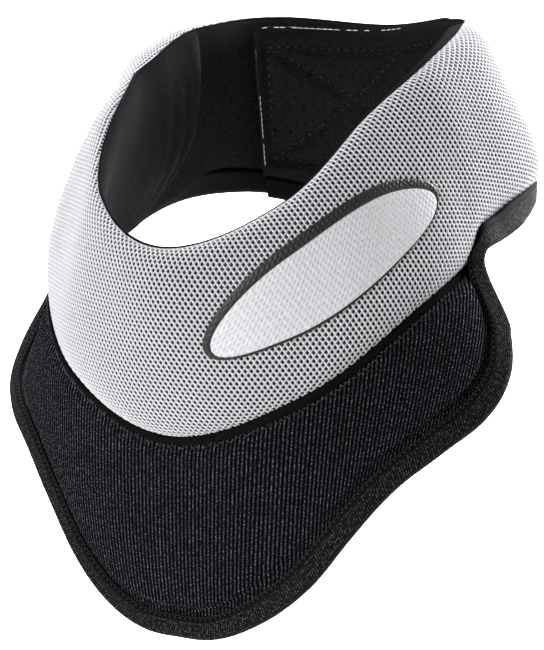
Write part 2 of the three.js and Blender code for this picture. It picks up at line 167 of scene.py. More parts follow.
# Its way from the bib's edge to the collar's foot: turn and drop of its outer and of its inner
# edge, and how far the inner edge stands off the foot
TAPE_CORNER_LEFT = (
    (77.2, 26.6, 72.2, 22.6, 0),
    (78.4, 22.2, 73.3, 17, 0),
    (79.3, 17.3, 74.4, 11.3, 0),
    (80.2, 12.6, 75.6, 5.6, 0.3),
    (81.2, 9.0, 76.9, 2.0, 0.9),
    (82.2, 7.5, 77.7, -0.2, 1.8),
    (83.8, 7.2, 79, -1.6, 2.8),
    (87, 7.8, 82, -1.0, 4),
    (92, 8.5, 87.5, 0, 4.3),
    (100, 9.2, 96, -0.4, 3.9),
    (108, 8.6, 104, -1.0, 2.6),
    (116, 7.6, 112, -1.8, 1.2),
    (124, 7.6, 122, -1.0, 0.3),
    (134, 8.2, 134, -0.6, 0),
)
TAPE_CORNER_RIGHT = (
    (78, 23.6, 73.8, 16.8, -2.6),
    (80, 17.4, 75.2, 11, -2.4),
    (81.2, 13.0, 76.4, 6.0, -1.6),
    (82.2, 9.8, 77.2, 2.0, -0.7),
    (83.6, 8.6, 78.6, 0.2, 0),
    (86.5, 8.8, 81.5, -0.4, 0),
    (91, 10.4, 88, -0.6, 0),
    (96, 12.8, 95, -0.6, 0),
    (100, 13.5, 100, -0.6, 0),
    (104, 12.8, 104, -0.6, 0),
    (110, 12.6, 110, -0.6, 0),
    (118, 12.4, 118, -0.6, 0),
    (128, 11.0, 128, -0.6, 0),
    (138, 9.6, 138, -0.6, 0),
    (150, 8.8, 150, -0.6, 0),
)
# How far the tape is turned in under the collar behind the bib's end on the wearer's left:
# turn, share of its flare
TAPE_TUCK = np.array([
    [0, 0], [96, 0], [108, 1.7], [116, 2.4], [126, 2.2], [145, 0], [218, 0],
])

# Net of the mesh face: pitch along and down the collar, half heights of its six-sided cells
NET_ALONG, NET_DOWN = 2.02, 1.43
NET_POINT = 1.18
NET_HIGH = 0.42
NET_HOLE = ((0, -0.86), (0.52, -0.18), (0.66, 0.18), (0, 0.76), (-0.66, 0.18), (-0.52, -0.18))
NET_RING, NET_RING_HIGH, NET_HOLE_HIGH = 0.45, 0.85, 0.02
NET_REACH = 45
NET_OVER_EDGE, NET_FROM_END = 0.7, 0.4
NET_NAMES = ("mesh_net_right", "mesh_net_front", "mesh_net_left")

# Ribs of the bib's cloth
RIB_PITCH = 1.47
RIB_LEAN = 0.0021
RIB_HIGH = 0.65
RIB_SAMPLES = 6
GROOVE_WIDE, GROOVE_DEEP = 3.4, 1.1
LIP_HIGH, LIP_WIDE = 0.3, 0.4
SEAM_TUCK = 1.1

# Badge: x runs along the collar, y up it
BADGE_TURN, BADGE_DOWN = 41.2, 0.453
BADGE_LONG, BADGE_TALL = 48.9, 15.3
BADGE_TILT, BADGE_BEND, BADGE_TWIST, BADGE_TAPER = -5.4, 4.2, 3.6, 0.134
FIELD_SHIFT_X, FIELD_SHIFT_Y = 0.7, -1.7
FIELD_MARGIN_LONG, FIELD_MARGIN_TALL = 1.9, 2.4
FIELD_HIGH = 0.82

# How far the lining rolls up above the seam of the top edge: turn, lift
ROLL_LIFT = np.array([
    [-205, 0.3], [-126, 0.3], [-116, 0.7], [-60, 0.6], [0, 0.8], [30, 1.2], [60, 2.2],
    [75, 3], [90, 3.6], [104, 4.4], [114, 5], [121, 3], [127, 0.4], [218, 0.3],
])
ROLL_SHARE = 0.36

# How far the lining's corded edge stands above the seam of the top edge: turn, lift
RIM_LIFT = ((-95, 0), (-75, 0.5), (-60, 0.9), (-20, 0.6), (20, 0.4), (60, 0.5), (90, 0))
RIM_HALF, RIM_OUT = 0.5, 0.2

# Rise of the collar's foot above the line of the bib's seam, behind the bib's end on the
# wearer's left: turn, rise
RISE = np.array([
    [0, 0], [76, 0], [79, 0.8], [82, 4.5], [84.5, 6.4], [90, 6], [100, 4.3], [110, 1.9],
    [120, 0], [218, 0],
])

# End of the side pads inside the collar: share of the way down, turn
PAD_END = np.array([
    [0, 120.2], [0.11, 120.9], [0.23, 121], [0.41, 120.3], [0.6, 119.2], [0.71, 117],
    [0.8, 114.7], [0.88, 112], [0.93, 107], [1, 100],
])
PAD_LAST_TURN, PAD_ARC = 112, 1.1
PAD_END_ROUND, PAD_END_HIGH = 6, 2.4
PAD_HANGS, PAD_HANGS_IN = 5.5, 3
PAD_HANG_TURNS = (-84, -94, -112, -130)
STRAP_INSIDE = 2.5
# Soft folds of the lining beside the pad's end: distance from it, width, depth
FOLDS = ((8, 2.4, 0.6), (14.5, 3.0, 1.1), (23, 3.8, 0.8), (33, 4.5, 0.5))
FOLD_GATHER, FOLD_BEND = 0.55, 1.3

# Quilting on the inside of the flap: turn and share of the way down of both ends of each line
QUILT = (
    ((213.9, 0.125), (156, 0.095)),
    ((156, 0.095), (156, 0.72)),
    ((156, 0.72), (214.8, 0.865)),
    ((214.8, 0.865), (213.9, 0.125)),
    ((213.9, 0.125), (156, 0.72)),
    ((214.8, 0.865), (171, 0.095)),
)
QUILT_ARC, QUILT_DEEP = 1.22, 66
QUILT_DENT, QUILT_WIDE = 2.1, 2.2
QUILT_LIFT = 0.08

# Rows of stitches: length, gap and slant of each stitch, and half its thickness
SEAM_STITCH = (1.5, 0.75, 0.55, 0.24)
TAPE_STITCH = (1.1, 0.9, 0, 0.2)
QUILT_STITCH = (1.0, 2.2, 0, 0.27)
FLAP_STITCH = (2.0, 0.25, 0.1, 0.17)


def ease(rows, column, at):
    """Smooth value of one column at given first-column values."""
    x, y = rows[:, 0], rows[:, column]
    at = np.clip(np.asarray(at, float), x[0], x[-1])
    slope = np.empty_like(y)
    slope[1:-1] = (y[2:] - y[:-2]) / (x[2:] - x[:-2])
    slope[0] = (y[1] - y[0]) / (x[1] - x[0])
    slope[-1] = (y[-1] - y[-2]) / (x[-1] - x[-2])
    i = np.clip(np.searchsorted(x, at, side="left") - 1, 0, len(x) - 2)
    span = x[i + 1] - x[i]
    t = (at - x[i]) / span
    t2, t3 = t * t, t * t * t
    near = (2 * t3 - 3 * t2 + 1) * y[i] + (t3 - 2 * t2 + t) * span * slope[i]
    return near + (3 * t2 - 2 * t3) * y[i + 1] + (t3 - t2) * span * slope[i + 1]


def smooth(low, high, x):
    t = np.clip((np.asarray(x, float) - low) / (high - low), 0, 1)
    return t * t * (3 - 2 * t)


def hump(at, middle, wide):
    """Round rise from 0 to 1 at its middle."""
    return np.exp(-((at - middle) / wide) ** 2)


def within(turn, limits):
    """1 along part of the way round the neck, easing to 0 at both its ends."""
    start, full, full_end, end = limits
    return smooth(start, full, turn) * smooth(end, full_end, turn)


def unit(v):
    return v / np.maximum(np.linalg.norm(v, axis=-1, keepdims=True), 1e-9)


def grid(along, down):
    return np.meshgrid(along, down, indexing="ij")


def running(steps):
    """Sums of steps, from 0."""
    return np.concatenate([[0], np.cumsum(steps)])


def run_along(points):
    return running(np.linalg.norm(np.diff(points, axis=0), axis=1))


def ring(turn):
    """The collar's section at a turn, with its foot raised and its top edge turned in."""
    c = {name: ease(RING, k, turn) for k, name in enumerate(RING_COLUMNS) if k}
    c["seam"] = c["foot"]
    c["foot"] = c["seam"] + ease(RISE, 1, turn)
    c["topReach"] = c["topReach"] - TOP_INSET * within(turn, UPPER_TURNS)
    c["deep"] = np.hypot(c["footReach"] - c["topReach"], c["foot"] - c["top"])
    return c


def corner_cut(turn):
    """How far the upper corners of the strap's ends are rounded away."""
    first = np.radians(turn - FIRST_TURN) * RING[0, 1]
    last = np.radians(LAST_TURN - turn) * RING[-1, 1]
    left = np.clip(np.minimum(first, last), 0, END_CORNER)
    return END_CORNER - np.sqrt(END_CORNER ** 2 - (END_CORNER - left) ** 2)


def around(turn, reach, height):
    t = np.radians(turn)
    return np.stack([reach * np.sin(t), -reach * np.cos(t), height + 0 * t], -1)


def wall(turn, v, off):
    """Point of the collar's wall, v of the way down and off to its outer side."""
    c = ring(turn)
    dr, dz, deep = c["footReach"] - c["topReach"], c["foot"] - c["top"], c["deep"]
    cut = corner_cut(turn)
    down = cut + (deep - cut) * v
    lean = FLAP_LEAN * smooth(FLAP_LEAN_FROM, LAST_TURN, turn) * down / deep
    reach = c["topReach"] + (dr * down - dz * off) / deep
    return around(turn + lean, reach, c["top"] + (dz * down + dr * off) / deep)


def swell(v, square):
    return np.sqrt(np.maximum(0, 1 - np.abs(2 * v - 1) ** square))


def rows_down(w):
    """Share of the way down at w, with rows closer at both edges."""
    return 0.5 - 0.5 * np.cos(np.pi * np.clip(w, 0, 1))


def row_at(v):
    """The w of a share of the way down."""
    return np.arccos(1 - 2 * v) / np.pi


def mesh_face(turn, w):
    """Outer face of the padded collar, w from 0 at the top edge to 1 at the foot."""
    c = ring(turn)
    v = rows_down(w)
    padded = smooth(STRAP_OUT, PADDED_OUT, c["out"])
    t = np.radians(turn)
    wave = sum(high * np.sin(a * t + b * v + start) for high, a, b, start in PAD_WAVES)
    upper = UPPER_BULGE * within(turn, UPPER_TURNS) * hump(v, UPPER_AT, UPPER_WIDE)
    return wall(turn, v, FACE_CLEAR + (c["out"] + padded * wave + upper) * swell(v, c["square"]))


def from_lines(x, y, starts, ends):
    """Distance of flat points from the nearest of some straight lines."""
    near = np.empty(x.size)
    (ax, ay), (bx, by) = starts.T, (ends - starts).T
    long = bx * bx + by * by
    at_once = 20000
    for k in range(0, x.size, at_once):
        some = slice(k, k + at_once)
        px, py = x.ravel()[some, None] - ax, y.ravel()[some, None] - ay
        t = np.clip((px * bx + py * by) / long, 0, 1)
        near[some] = np.hypot(px - t * bx, py - t * by).min(1)
    return near.reshape(x.shape)


def quilt_dent(turn, v):
    """Depth pressed into the flap's lining by its quilting."""
    lines = np.array(QUILT) * (QUILT_ARC, QUILT_DEEP)
    near = from_lines(turn * QUILT_ARC, v * QUILT_DEEP, lines[:, 0], lines[:, 1])
    return QUILT_DENT * hump(near, 0, QUILT_WIDE)


def lining_face(turn, w):
    """Inner face of the lining: side pads with rounded ends, folds beside them, roll at the top."""
    c = ring(turn)
    v = rows_down(w)
    pad_turn = np.clip(turn, -PAD_LAST_TURN, PAD_LAST_TURN)
    pad = ease(RING, RING_COLUMNS.index("inside"), pad_turn)
    into = (np.interp(v, *PAD_END.T) - np.abs(turn)) * PAD_ARC
    end = 1 - np.clip(into / PAD_END_ROUND, 0, 1)
    inside = STRAP_INSIDE + (pad - STRAP_INSIDE) * np.sqrt(1 - end * end)
    inside = inside + PAD_END_HIGH * smooth(0, 5, into) * smooth(34, 8, into) * smooth(0, 0.3, v)
    for far, wide, deep in FOLDS:
        gathered = into / (1 - FOLD_GATHER * v)
        bent = far + FOLD_BEND * np.sin(5 * v + far)
        inside = inside - deep * hump(gathered, bent, wide) * smooth(0.08, 0.45, v)
    inside = inside - quilt_dent(turn, v)
    roll = ease(ROLL_LIFT, 1, turn) * np.sin(np.minimum(np.pi, np.pi * w / ROLL_SHARE))
    hang = within(turn, PAD_HANG_TURNS) * smooth(0.72, 1, w)
    shift = (PAD_HANGS * hang - roll) / c["deep"]
    return wall(turn, v + shift, -inside * swell(v, c["square"]) - PAD_HANGS_IN * hang)


def lifted(surface, turn, w, height, inward=False):
    """Points of a surface raised along its own normal."""
    turn, w = np.broadcast_arrays(np.asarray(turn, float), np.asarray(w, float))
    turn_step, step = 0.4, 0.02
    near, far = np.maximum(turn - turn_step, FIRST_TURN), np.minimum(turn + turn_step, LAST_TURN)
    low, high = np.clip(w - step, 0, 1), np.clip(w + step, 0, 1)
    along = surface(far, w) - surface(near, w)
    down = surface(turn, high) - surface(turn, low)
    normal = unit(np.cross(along, down) if inward else np.cross(down, along))
    return surface(turn, w) + normal * (height + 0 * turn)[..., None]


def foot_line(turn):
    c = ring(turn)
    lean = FLAP_LEAN * smooth(FLAP_LEAN_FROM, LAST_TURN, turn)
    return around(turn + lean, c["footReach"], c["foot"])


def seam_line(turn):
    c = ring(turn)
    return around(turn, c["footReach"], c["seam"])


def ways(turn, angle):
    """Way down the cloth and way out of it where it stands off the vertical by an angle."""
    t = np.radians(turn)
    down = np.stack([np.sin(angle) * np.sin(t), -np.sin(angle) * np.cos(t), -np.cos(angle)], -1)
    out = np.stack([np.cos(angle) * np.sin(t), -np.cos(angle) * np.cos(t), np.sin(angle)], -1)
    return down, out


def bib_angle(turn):
    return np.radians(BIB_FLARE_FRONT + BIB_FLARE_SIDE * (1 - np.cos(np.radians(turn))))


def strap_angle(turn):
    c = ring(turn)
    lean = np.arctan2(c["footReach"] - c["topReach"], c["top"] - c["foot"])
    flare = smooth(STRAP_OUT, FULL_OUT, c["out"]) - ease(TAPE_TUCK, 1, turn)
    return lean + np.radians(TAPE_COLLAR_FLARE) * flare


def skirt_angle(turn):
    """Angle of the cloth below the collar's foot: the bib's in front, the strap's behind it."""
    mix = smooth(STRAP_FROM, STRAP_FULL, np.abs(turn))
    return bib_angle(turn) * (1 - mix) + strap_angle(turn) * mix


def edge_drop(turn):
    return ease(BIB, 1, np.abs(turn))


def sway(turn, drop):
    """Sideways hang of the bib, all of it at its edge and none at its seam."""
    whole = np.maximum(edge_drop(turn), SWAY_LEAST_DROP)
    far = ease(BIB_SWAY, 1, np.clip(turn, -SWAY_TURN, SWAY_TURN)) * np.clip(drop / whole, 0, 1)
    side = np.radians(AZIMUTH)
    return far[..., None] * np.array([np.cos(side), np.sin(side), 0])


def skirt(turn, drop, off=0.0):
    down, out = ways(turn, skirt_angle(turn))
    hung = foot_line(turn) + down * np.asarray(drop)[..., None] + sway(turn, drop)
    return hung + out * (np.asarray(off) + 0 * turn)[..., None]


# Meshes
MM = 0.001
SLANTED = np.array([0.31, 0.22, 0.92])
STITCH_SIDES = 6
STITCH_SINK = 0.35


def add_mesh(name, points, faces, uv, slot, material):
    """Smooth mesh object from points in millimetres; uv is one pair of millimetres for each point."""
    data = bpy.data.meshes.new(name)
    faces = faces.tolist() if isinstance(faces, np.ndarray) else faces
    data.from_pydata((points.reshape(-1, 3) * MM).tolist(), [], faces)
    data.polygons.foreach_set("use_smooth", np.ones(len(data.polygons), bool))
    if uv is not None:
        corner = np.empty(len(data.loops), np.int32)
        data.loops.foreach_get("vertex_index", corner)
        layer = data.uv_layers.new(name="UVMap")
        layer.data.foreach_set("uv", uv.astype(np.float32).reshape(-1, 2)[corner].ravel())
    data.update()
    piece = new_object(name, data)
    data.materials.append(material)
    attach(piece, "root")
    return piece


def grid_faces(rows, columns):
    """Faces between rows of points, each row a closed loop."""
    i, j = grid(np.arange(rows - 1), np.arange(columns))
    a, b = i * columns + j, i * columns + (j + 1) % columns
    return np.stack([a, b, b + columns, a + columns], -1).reshape(-1, 4)


def loft_faces(stations, count):
    """Faces of closed loops joined along their stations, with both ends closed."""
    j = np.arange(count // 2 - 1)
    first = np.stack([j, count - 1 - j, count - 2 - j, j + 1], -1)
    last = (stations - 1) * count + first[:, [0, 3, 2, 1]]
    return np.concatenate([grid_faces(stations, count), first, last])


def outward(points, faces):
    """The faces turned so that the closed mesh looks outward."""
    p = np.asarray(points).reshape(-1, 3)
    a, b, c, d = (p[faces[:, k]] for k in range(4))
    volume = (a * np.cross(b, c)).sum() + (a * np.cross(c, d)).sum()
    return faces if volume > 0 else faces[:, ::-1]


def add_loft(name, loops, uv, slot, material):
    """Closed mesh through loops of points, from the first loop to the last."""
    faces = outward(loops, loft_faces(*loops.shape[:2]))
    return add_mesh(name, loops, faces, uv, slot, material)


def circles(sides, across, up):
    """Circle of unit vectors round each point of a path, from two ways across it."""
    a = np.linspace(0, 2 * np.pi, sides, endpoint=False)
    return across[:, None] * np.cos(a)[None, :, None] + up[:, None] * np.sin(a)[None, :, None]


def tube(path, radius, sides):
    """Points and faces of a tube along a path that never runs along SLANTED."""
    along = unit(np.gradient(path, axis=0))
    side = unit(np.cross(along, SLANTED))
    points = path[:, None] + circles(sides, side, np.cross(along, side)) * radius
    return points, outward(points, grid_faces(len(path), sides))


def joined(parts):
    """Several sets of points and faces as one."""
    points, faces, start = [], [], 0
    for p, f in parts:
        points.append(p)
        faces.append(f + start)
        start += len(p)
    return np.concatenate(points), np.concatenate(faces)


def stitch_rows(starts, ends, normals, radius):
    """Small rounded threads from starts to ends, on a cloth and dipping into it at their ends."""
    t = np.array([0, 0.12, 0.35, 0.65, 0.88, 1])
    size = np.array([0.35, 0.8, 1, 1, 0.8, 0.35]) * radius
    lift = np.array([-1, 0, 1, 1, 0, -1]) * radius * STITCH_SINK
    along = unit(ends - starts)
    side = unit(np.cross(along, normals))
    up = np.cross(side, along)
    spine = starts[:, None] + (ends - starts)[:, None] * t[None, :, None]
    spine = spine + up[:, None] * lift[None, :, None]
    circle = circles(STITCH_SIDES, side, up)
    points = spine[:, :, None] + circle[:, None] * size[None, :, None, None]
    one = grid_faces(len(t), STITCH_SIDES)
    faces = np.concatenate([one + k * len(t) * STITCH_SIDES for k in range(len(starts))])
    return points.reshape(-1, 3), faces


# Materials: every pattern is in millimetres of the cloth, from the pieces' own coordinates
SOCKETS = {
    "colour": "Base Color",
    "rough": "Roughness",
    "shine": "Specular IOR Level",
    "sheen": "Sheen Weight",
    "sheen_rough": "Sheen Roughness",
    "sheen_tint": "Sheen Tint",
}


class Value:
    """A shader value that takes the plain signs of arithmetic."""

    def __init__(self, nodes, socket):
        self.nodes, self.socket = nodes, socket

    def __add__(self, other):
        return self.nodes.math("ADD", self, other)

    def __sub__(self, other):
        return self.nodes.math("SUBTRACT", self, other)

    def __rsub__(self, other):
        return self.nodes.math("SUBTRACT", other, self)

    def __mul__(self, other):
        return self.nodes.math("MULTIPLY", self, other)

    def __truediv__(self, other):
        return self.nodes.math("DIVIDE", self, other)


class Nodes:
    """A material with one shader and the nodes that feed it."""

    def __init__(self, name):
        self.material = bpy.data.materials.new(name)
        self.material.use_nodes = True
        self.tree = self.material.node_tree
        self.tree.nodes.clear()
        self.shader = self.node("BsdfPrincipled")
        self.put(self.node("OutputMaterial").inputs["Surface"], Value(self, self.shader.outputs[0]))

    def put(self, socket, value):
        if isinstance(value, Value):
            self.tree.links.new(value.socket, socket)
        else:
            socket.default_value = value

    def node(self, kind, **values):
        """New node of a kind, with values for its named inputs."""
        made = self.tree.nodes.new("ShaderNode" + kind)
        for name, value in values.items():
            self.put(made.inputs[name.replace("_", " ")], value)
        return made

    def made(self, kind, **values):
        return Value(self, self.node(kind, **values).outputs[0])

    def math(self, kind, *values):
        node = self.node("Math")
        node.operation = kind
        for socket, value in zip(node.inputs, values):
            self.put(socket, value)
        return Value(self, node.outputs[0])

    def peak(self, x):
        """1 in the middle of each whole step of x, 0 at its ends."""
        return 1.0 - self.math("ABSOLUTE", self.math("FRACT", x) - 0.5) * 2.0

    def cloth(self):
        """Place on the cloth, and how far along it and across it."""
        node = self.node("UVMap")
        node.uv_map = "UVMap"
        where = Value(self, node.outputs[0])
        parts = self.node("SeparateXYZ", Vector=where).outputs
        return where, Value(self, parts[0]), Value(self, parts[1])

    def noise(self, where, scale, detail, rough):
        return self.made("TexNoise", Vector=where, Scale=scale, Detail=detail, Roughness=rough)

    def ramp(self, factor, *stops):
        node = self.node("ValToRGB", Fac=factor)
        while len(node.color_ramp.elements) < len(stops):
            node.color_ramp.elements.new(0.5)
        for element, (position, colour) in zip(node.color_ramp.elements, stops):
            element.position = position
            element.color = (*colour, 1)
        return Value(self, node.outputs[0])

    def between(self, low, high, value):
        node = self.node("MapRange", Value=value, From_Min=low, From_Max=high)
        node.interpolation_type = "SMOOTHSTEP"
        return Value(self, node.outputs[0])

    def bump(self, height, distance, strength):
        normal = self.made("Bump", Height=height, Distance=distance * MM, Strength=strength)
        self.put(self.shader.inputs["Normal"], normal)

    def set(self, **values):
        for name, value in values.items():
            self.put(self.shader.inputs[SOCKETS[name]], value)
        return self.material


def dots(n, u, v, along, down, low, high):
    """Mask of a staggered pattern of dots, 1 in their middle."""
    row = v / down
    odd = n.math("MODULO", n.math("FLOOR", row), 2.0) * 0.5
    dx = (n.math("FRACT", u / along + odd) - 0.5) * along
    dy = (n.math("FRACT", row) - 0.5) * down
    return n.between(high, low, n.math("SQRT", dx * dx + dy * dy))


def net_material():
    """Strands that lean one way are painted lighter and those that lean the other way darker: painted
    light on the strands that lie over, painted shade on those that pass under.
    """
    n = Nodes("silver_net")
    where, u, v = n.cloth()
    along, down = u / NET_ALONG, v / (2 * NET_DOWN)
    # Painted light and shade of the crossing strands: 1 on those that lie over, 0 on those that pass
    # under; the tone mixes it half and half with random tone
    over = (n.peak(along + down) - n.peak(along - down)) * 0.5 + 0.5
    tone = over * 0.5 + n.noise(where, 2.4, 3.0, 0.65) * 0.5
    colour = n.ramp(tone, (0.2, (0.29, 0.283, 0.3)), (0.72, (0.66, 0.645, 0.68)))
    n.bump(n.noise(where, 6.0, 2.0, 0.6), 0.08, 0.6)
    return n.set(colour=colour, rough=0.6, shine=0.12)


def base_material():
    n = Nodes("collar_base_cloth")
    where = n.cloth()[0]
    grain = n.noise(where, 1.2, 3.0, 0.6)
    colour = n.ramp(grain, (0.3, (0.014, 0.014, 0.015)), (0.7, (0.036, 0.036, 0.039)))
    n.bump(n.noise(where, 4.0, 2.0, 0.6), 0.1, 0.6)
    return n.set(colour=colour, rough=0.95, shine=0.1)


def lining_material():
    n = Nodes("perforated_lining")
    where, u, v = n.cloth()
    hole = dots(n, u, v, 6.0, 2.9, 0.2, 0.6)
    heather = n.noise(n.made("Mapping", Vector=where, Scale=(0.5, 2.6, 1)), 1.0, 3.0, 0.65)
    colour = n.ramp(heather * (1.0 - hole * 0.3), (0.0, (0.002, 0.002, 0.002)),
                    (0.3, (0.0016, 0.0016, 0.002)), (0.7, (0.0125, 0.0122, 0.0145)))
    n.bump(n.noise(where, 2.4, 2.0, 0.6) - hole * 0.6, 0.25, 0.7)
    return n.set(colour=colour, rough=0.95, shine=0.04)


def rib_material():
    n = Nodes("ribbed_knit")
    where, u, _ = n.cloth()
    # 1 on the middle of each rib, 0 in its grooves
    middle = n.peak(u / RIB_PITCH)
    fleck = n.between(0.46, 0.68, n.noise(where, 1.75, 2.0, 0.75))
    # Rib crests painted lighter and grooves near black: painted light on the crests and painted shade in
    # the grooves, with random flecks of the yarn on the crests
    colour = n.ramp(middle * (fleck * 0.72 + 0.28), (0.0, (0.0006, 0.0006, 0.0007)),
                    (0.22, (0.0028, 0.0027, 0.0034)), (0.4, (0.018, 0.0175, 0.0222)),
                    (0.95, (0.2, 0.193, 0.235)))
    n.bump(middle + fleck * 0.4, 0.2, 0.8)
    return n.set(colour=colour, rough=0.85, shine=0.03, sheen=0.055, sheen_rough=0.3,
                 sheen_tint=(0.8, 0.78, 1.0, 1.0))


def tape_material():
    """Slanted dashes on the ridges of the tape's outer face, none near its two edges; the turned face
    gets none and stays darker, as painted shade on the tape inside the collar.
    """
    n = Nodes("woven_tape")
    where, u, v = n.cloth()
    ridge = n.peak(v / (TAPE_WIDE / TAPE_RIDGES))
    beat = n.math("FRACT", (v * 0.4 + u) / TAPE_HATCH)
    dash = n.between(0.5, 0.1, n.math("ABSOLUTE", beat - 0.5))
    # The turned face is left without dashes: painted shade on the tape inside the collar
    unshaded_outer_face = n.math("LESS_THAN", v, TAPE_TURNED / 2)
    share = v / TAPE_WIDE
    middle = n.between(0.08, 0.25, share) * n.between(1.0, 0.8, share)
    weave = dash * (ridge * 0.6 + 0.4) * (unshaded_outer_face * middle)
    tone = weave * n.between(0.25, 0.8, n.noise(where, 0.9, 3.0, 0.6))
    colour = n.ramp(tone, (0.0, (0.0018, 0.0018, 0.002)), (0.25, (0.007, 0.007, 0.0075)),
                    (0.8, (0.095, 0.095, 0.105)))
    n.bump(weave, 0.16, 0.7)
    return n.set(colour=colour, rough=0.75, shine=0.05)


def plain_cloth(name, low, high, scale, rough, shine):
    n = Nodes(name)
    where = Value(n, n.node("TexCoord").outputs["Object"])
    grain = n.noise(where, scale, 3.0, 0.6)
    n.bump(grain, 0.2, 0.6)
    return n.set(colour=n.ramp(grain, (0.3, low), (0.7, high)), rough=rough, shine=shine)


def badge_material(name, low, high, rough):
    n = Nodes(name)
    where, u, v = n.cloth()
    dimple = dots(n, u, v, NET_ALONG, NET_DOWN, 0.2, 0.75)
    # The dimples are also painted darker: painted shade in them, over random tone
    tone = n.noise(where, 0.8, 3.0, 0.6) - dimple * 0.25
    n.bump(1.0 - dimple, 0.16, 0.8)
    return n.set(colour=n.ramp(tone, (0.2, low), (0.6, high)), rough=rough, shine=0.4)


NET = net_material()
BASE = base_material()
LINING_CLOTH = lining_material()
RIB_CLOTH = rib_material()
WOVEN_TAPE = tape_material()
BAND_CLOTH = plain_cloth("seam_band_cloth", (0.0015,) * 3, (0.006,) * 3, 1600, 0.9, 0.03)
DARK_THREAD = plain_cloth("dark_thread", (0.02, 0.02, 0.021), (0.06, 0.06, 0.062), 2500, 0.6, 0.2)
# A little lighter than the tape itself: painted highlight of the tape's fold
FOLD_HIGHLIGHT_CLOTH = plain_cloth("tape_fold_highlight_cloth", (0.006, 0.006, 0.006), (0.02, 0.02, 0.021), 2200, 0.7, 0.1)
QUILT_THREAD = plain_cloth("quilt_thread", (0.012, 0.012, 0.013), (0.035, 0.035, 0.037), 2500, 0.6, 0.15)
GREY_THREAD = plain_cloth("grey_thread", (0.016, 0.016, 0.017), (0.05, 0.05, 0.052), 2500, 0.6, 0.15)
SILVER_THREAD = plain_cloth("silver_thread", (0.35, 0.35, 0.36), (0.6, 0.6, 0.62), 2500, 0.5, 0.4)
HOOK_TAPE = plain_cloth("hook_tape", (0.004,) * 3, (0.02,) * 3, 1300, 0.7, 0.4)
RIM_PRINT = badge_material("badge_border_print", (0.006,) * 3, (0.014,) * 3, 0.5)
FIELD_PRINT = badge_material("badge_field_print", (0.42, 0.425, 0.44), (0.58, 0.585, 0.605), 0.45)


# Padded collar under the net
def there_and_back(rows):
    """Columns down the face of a cloth and up its back."""
    return np.concatenate([rows, rows[:, ::-1]], 1)


def collar_turns(step):
    """Turns along the collar, closer at the rounded ends."""
    ends = np.array([0, 0.3, 0.8, 1.5, 2.4, 3.4, 4.6, 6])
    middle = np.arange(FIRST_TURN + 7.5, LAST_TURN - 7, step)
    return np.concatenate([FIRST_TURN + ends, middle, LAST_TURN - ends[::-1]])


def add_collar_pad():
    mean_arc, mean_deep = 1.45, 70
    turn, down = grid(collar_turns(3), np.linspace(0, 1, 25))
    back = lifted(lining_face, turn, down, -LINING - CLEAR, inward=True)
    loops = np.concatenate([mesh_face(turn, down), back[:, ::-1]], 1)
    uv = np.stack([there_and_back(turn) * mean_arc, there_and_back(down) * mean_deep], -1)
    piece = add_loft("collar_pad", loops, uv, "mesh", BASE)
    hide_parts("collar_shell")


HALVINGS = 26


class Unrolled:
    """A strip of cloth laid out flat with its middle front line straight down.

    The strip is a line round the neck with straight ways down the cloth from it."""

    def __init__(self, turn, line, ways_down):
        at, down = line(turn), ways_down(turn)
        step = np.diff(at, axis=0)
        mean = (down[1:] + down[:-1]) / 2
        drop = (step * mean).sum(1)
        across = step - mean * drop[:, None]
        wide = np.linalg.norm(across, axis=1)
        fan = running((np.diff(down, axis=0) * across / wide[:, None]).sum(1))
        start = np.argmin(np.abs(turn))
        self.turn, self.fan = turn, fan - fan[start]
        half = (self.fan[1:] + self.fan[:-1]) / 2
        x = running(drop * np.sin(half) + wide * np.cos(half))
        y = running(-drop * np.cos(half) + wide * np.sin(half))
        self.x, self.y = x - x[start], y - y[start]

    def at(self, turn):
        """Flat place of the line at a turn, and the lean of its way down."""
        return (np.interp(turn, self.turn, rows) for rows in (self.x, self.y, self.fan))

    def to_flat(self, turn, drop):
        x, y, fan = self.at(turn)
        return x + drop * np.sin(fan), y - drop * np.cos(fan)

    def from_flat(self, x, y):
        """Turn and drop of points of the flat cloth, the turn found by halving."""
        low = np.full(x.shape, self.turn[0])
        high = np.full(x.shape, self.turn[-1])
        for _ in range(HALVINGS):
            turn = (low + high) / 2
            line_x, line_y, fan = self.at(turn)
            side = (x - line_x) * np.cos(fan) + (y - line_y) * np.sin(fan)
            low = np.where(side > 0, turn, low)
            high = np.where(side > 0, high, turn)
        turn = (low + high) / 2
        line_x, line_y, fan = self.at(turn)
        return turn, (x - line_x) * np.sin(fan) - (y - line_y) * np.cos(fan)


# Net over the pad: its rows run straight across the flat cloth, as the collar was cut
def cloth_spacing():
    """Turns, shares of the way down the cloth, the w of each of them, and the cloth's depth."""
    turns = np.linspace(FIRST_TURN, LAST_TURN, 241)
    w = np.linspace(0, 1, 81)
    down = np.array([run_along(column) for column in mesh_face(*grid(turns, w))])
    share = np.linspace(0, 1, 101)
    rows = np.array([np.interp(share, d / d[-1], w) for d in down])
    return turns, share, rows, down[:, -1]


TURNS, SHARES, ROWS, FACE_DEEP = cloth_spacing()


def collar_line(turn):
    return mesh_face(turn, 0.5 + 0 * turn)


def collar_down(turn):
    return unit(wall(turn, 1, 0) - wall(turn, 0, 0))


FLAT_COLLAR = Unrolled(np.linspace(FIRST_TURN, LAST_TURN, 847), collar_line, collar_down)


